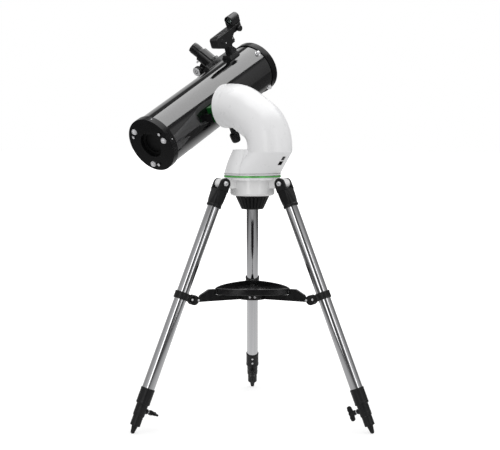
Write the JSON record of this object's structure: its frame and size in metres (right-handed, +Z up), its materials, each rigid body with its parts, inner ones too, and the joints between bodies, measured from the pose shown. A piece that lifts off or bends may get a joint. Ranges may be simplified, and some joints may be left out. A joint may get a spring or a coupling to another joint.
{
  "type": "newtonian reflector telescope",
  "caption": "Short reflecting telescope on a motorised single-arm altazimuth mount, with a red dot finder, side focuser and a folding steel tripod that carries an accessory tray.",
  "frame": {"origin": "middle of the whole object's footprint, on the floor", "axes": "+X is the way the optical tube points in plan, +Y runs from the mount's arm to the tube, +Z is up"},
  "size_m": [0.6077, 0.6613, 1.0809],
  "materials": {
    "mount_white": "glossy white moulded plastic",
    "head_white": "satin white painted casting",
    "green_anodised": "anodised, satin",
    "saddle_green": "dark anodised, satin",
    "black_casting": "moulded black, low sheen",
    "black_knob": "moulded black, ribbed",
    "tray_black": "moulded black, satin",
    "leg_steel": "bright tube, polished",
    "bolt_steel": "plated",
    "tube_black": "deep gloss black paint",
    "cell_black": "satin black",
    "mirror_silver": "aluminised front face",
    "mirror_cell": "dull black",
    "finder_black": "moulded black",
    "eyepiece_black": "black anodised",
    "gear_brass": "machined",
    "motor_steel": "plated",
    "board_green": "circuit board",
    "socket_black": "moulded black"
  },
  "bodies": {
    "tripod_head": {"tripod_head": "head_white", "hinge_bolts": "bolt_steel", "mount_base": "mount_white", "green_ring": "green_anodised", "azimuth_gear": "gear_brass"},
    "clamp_knob": {"clamp_knob": "black_knob"},
    "leg_1": {"leg_top_1": "black_casting", "leg_tube_1": "leg_steel", "leg_collar_1": "black_casting", "foot_clamp_1": "black_casting"},
    "leg_extension_1": {"slider_tube_1": "leg_steel", "foot_1": "black_casting"},
    "wing_bolt_1": {"wing_bolt_1": "black_knob"},
    "spreader_arm_1": {"spreader_arm_1": "black_casting"},
    "leg_2": {"leg_top_2": "black_casting", "leg_tube_2": "leg_steel", "leg_collar_2": "black_casting", "foot_clamp_2": "black_casting"},
    "leg_extension_2": {"slider_tube_2": "leg_steel", "foot_2": "black_casting"},
    "wing_bolt_2": {"wing_bolt_2": "black_knob"},
    "spreader_arm_2": {"spreader_arm_2": "black_casting"},
    "leg_3": {"leg_top_3": "black_casting", "leg_tube_3": "leg_steel", "leg_collar_3": "black_casting", "foot_clamp_3": "black_casting"},
    "leg_extension_3": {"slider_tube_3": "leg_steel", "foot_3": "black_casting"},
    "wing_bolt_3": {"wing_bolt_3": "black_knob"},
    "spreader_arm_3": {"spreader_arm_3": "black_casting"},
    "spreader": {"spreader_hub": "tray_black", "tray": "tray_black"},
    "mount": {"arm_housing": "mount_white", "front_cover": "mount_white", "azimuth_plate": "mount_white", "gear_motors": "motor_steel", "circuit_board": "board_green", "socket_panel": "socket_black"},
    "tube_assembly": {"saddle": "saddle_green", "altitude_gear": "gear_brass", "dovetail_bar": "eyepiece_black", "optical_tube": "tube_black", "rear_cell": "cell_black", "mirror_holder": "mirror_cell", "primary_mirror": "mirror_silver", "front_ring": "cell_black", "spider": "cell_black", "secondary_mirror": "mirror_silver", "focuser_body": "eyepiece_black", "finder_bracket": "finder_black", "finder_body": "finder_black"},
    "saddle_jaw": {"saddle_jaw": "saddle_green"},
    "saddle_knob": {"saddle_knob": "black_knob"},
    "collimation_knob_1": {"collimation_knob_1": "bolt_steel"},
    "collimation_knob_2": {"collimation_knob_2": "bolt_steel"},
    "collimation_knob_3": {"collimation_knob_3": "bolt_steel"},
    "focus_shaft": {"focus_shaft": "bolt_steel"},
    "drawtube": {"drawtube": "eyepiece_black"},
    "eyepiece": {"eyepiece": "eyepiece_black"},
    "finder_knob": {"finder_knob": "finder_black"}
  },
  "joints": [
    {"name": "clamp_knob_turn", "type": "hinge", "parent": "tripod_head", "child": "clamp_knob", "pos_m": [0.027, 0.0155, 0.56], "axis": [0, 0, 1], "continuous": true},
    {"name": "leg_fold_1", "type": "hinge", "parent": "tripod_head", "child": "leg_1", "pos_m": [0.09617, 0.07354, 0.6176], "axis": [-0.6428, 0.766, 0], "range_deg": [0, 10]},
    {"name": "leg_extend_1", "type": "slide", "parent": "leg_1", "child": "leg_extension_1", "axis": [0.2936, 0.2464, -0.9236], "range_m": [0, 0.38]},
    {"name": "wing_bolt_turn_1", "type": "hinge", "parent": "leg_1", "child": "wing_bolt_1", "pos_m": [0.25998, 0.21099, 0.0495], "axis": [-0.7075, -0.5937, -0.3833], "range_deg": [-360, 360]},
    {"name": "arm_fold_1", "type": "hinge", "parent": "leg_1", "child": "spreader_arm_1", "pos_m": [0.15186, 0.12027, 0.3222], "axis": [-0.6428, 0.766, 0], "range_deg": [0, 42.89]},
    {"name": "leg_fold_2", "type": "hinge", "parent": "tripod_head", "child": "leg_2", "pos_m": [-0.05785, 0.04638, 0.6176], "axis": [-0.342, -0.9397, 0], "range_deg": [0, 10]},
    {"name": "leg_extend_2", "type": "slide", "parent": "leg_2", "child": "leg_extension_2", "axis": [-0.3602, 0.1311, -0.9236], "range_m": [0, 0.38]},
    {"name": "wing_bolt_turn_2", "type": "hinge", "parent": "leg_2", "child": "wing_bolt_2", "pos_m": [-0.25879, 0.11952, 0.0495], "axis": [0.8679, -0.3159, -0.3833], "range_deg": [-360, 360]},
    {"name": "arm_fold_2", "type": "hinge", "parent": "leg_2", "child": "spreader_arm_2", "pos_m": [-0.12617, 0.07125, 0.3222], "axis": [-0.342, -0.9397, 0], "range_deg": [0, 42.89]},
    {"name": "leg_fold_3", "type": "hinge", "parent": "tripod_head", "child": "leg_3", "pos_m": [0.04268, -0.07343, 0.6176], "axis": [0.9848, 0.1736, 0], "range_deg": [0, 10]},
    {"name": "leg_extend_3", "type": "slide", "parent": "leg_3", "child": "leg_extension_3", "axis": [0.0666, -0.3775, -0.9236], "range_m": [0, 0.38]},
    {"name": "wing_bolt_turn_3", "type": "hinge", "parent": "leg_3", "child": "wing_bolt_3", "pos_m": [0.07981, -0.28401, 0.0495], "axis": [-0.1604, 0.9096, -0.3833], "range_deg": [-360, 360]},
    {"name": "arm_fold_3", "type": "hinge", "parent": "leg_3", "child": "spreader_arm_3", "pos_m": [0.0553, -0.14502, 0.3222], "axis": [0.9848, 0.1736, 0], "range_deg": [0, 42.89]},
    {"name": "spreader_rise", "type": "slide", "parent": "tripod_head", "child": "spreader", "axis": [0, 0, 1], "range_m": [0, 0.102]},
    {"name": "azimuth", "type": "hinge", "parent": "tripod_head", "child": "mount", "pos_m": [0.027, 0.0155, 0.64], "axis": [0, 0, 1], "continuous": true},
    {"name": "altitude", "type": "hinge", "parent": "mount", "child": "tube_assembly", "pos_m": [0.027, 0.1055, 0.817], "axis": [0, -1, 0], "range_deg": [-32.5, 62.5]},
    {"name": "jaw_slide", "type": "slide", "parent": "tube_assembly", "child": "saddle_jaw", "axis": [0.4617, 0, -0.887], "range_m": [0, 0.003]},
    {"name": "saddle_knob_turn", "type": "hinge", "parent": "saddle_jaw", "child": "saddle_knob", "pos_m": [0.05009, 0.111, 0.77265], "axis": [0.4617, 0, -0.887], "range_deg": [-1, 1082]},
    {"name": "collimation_turn_1", "type": "hinge", "parent": "tube_assembly", "child": "collimation_knob_1", "pos_m": [-0.17395, 0.2468, 0.74801], "axis": [-0.887, 0, -0.4617], "range_deg": [-360, 360]},
    {"name": "collimation_turn_2", "type": "hinge", "parent": "tube_assembly", "child": "collimation_knob_2", "pos_m": [-0.16236, 0.15311, 0.72575], "axis": [-0.887, 0, -0.4617], "range_deg": [-360, 360]},
    {"name": "collimation_turn_3", "type": "hinge", "parent": "tube_assembly", "child": "collimation_knob_3", "pos_m": [-0.13069, 0.22169, 0.66491], "axis": [-0.887, 0, -0.4617], "range_deg": [-360, 360]},
    {"name": "focus_turn", "type": "hinge", "parent": "tube_assembly", "child": "focus_shaft", "pos_m": [0.15522, 0.297, 0.93452], "axis": [-0.887, 0, -0.4617], "range_deg": [-106, 314.5]},
    {"name": "drawtube_slide", "type": "slide", "parent": "tube_assembly", "child": "drawtube", "axis": [-0.3265, 0.7071, 0.6272], "range_m": [-0.01, 0.03]},
    {"name": "eyepiece_slide", "type": "slide", "parent": "drawtube", "child": "eyepiece", "axis": [-0.3265, 0.7071, 0.6272], "range_m": [0, 0.026]},
    {"name": "finder_knob_turn", "type": "hinge", "parent": "tube_assembly", "child": "finder_knob", "pos_m": [0.16717, 0.19764, 1.03502], "axis": [0.0322, -0.9976, -0.0619], "range_deg": [-180, 180]}
  ],
  "couplings": [
    {"joint": "arm_fold_1", "follows": "leg_fold_1", "ratio": 4.279},
    {"joint": "leg_fold_2", "follows": "leg_fold_1", "ratio": 1},
    {"joint": "arm_fold_2", "follows": "leg_fold_1", "ratio": 4.279},
    {"joint": "leg_fold_3", "follows": "leg_fold_1", "ratio": 1},
    {"joint": "arm_fold_3", "follows": "leg_fold_1", "ratio": 4.279},
    {"joint": "spreader_rise", "follows": "leg_fold_1", "m_per_rad": 0.58353},
    {"joint": "saddle_knob_turn", "follows": "jaw_slide", "rad_per_m": 6283.2},
    {"joint": "focus_turn", "follows": "drawtube_slide", "rad_per_m": 181.82}
  ]
}
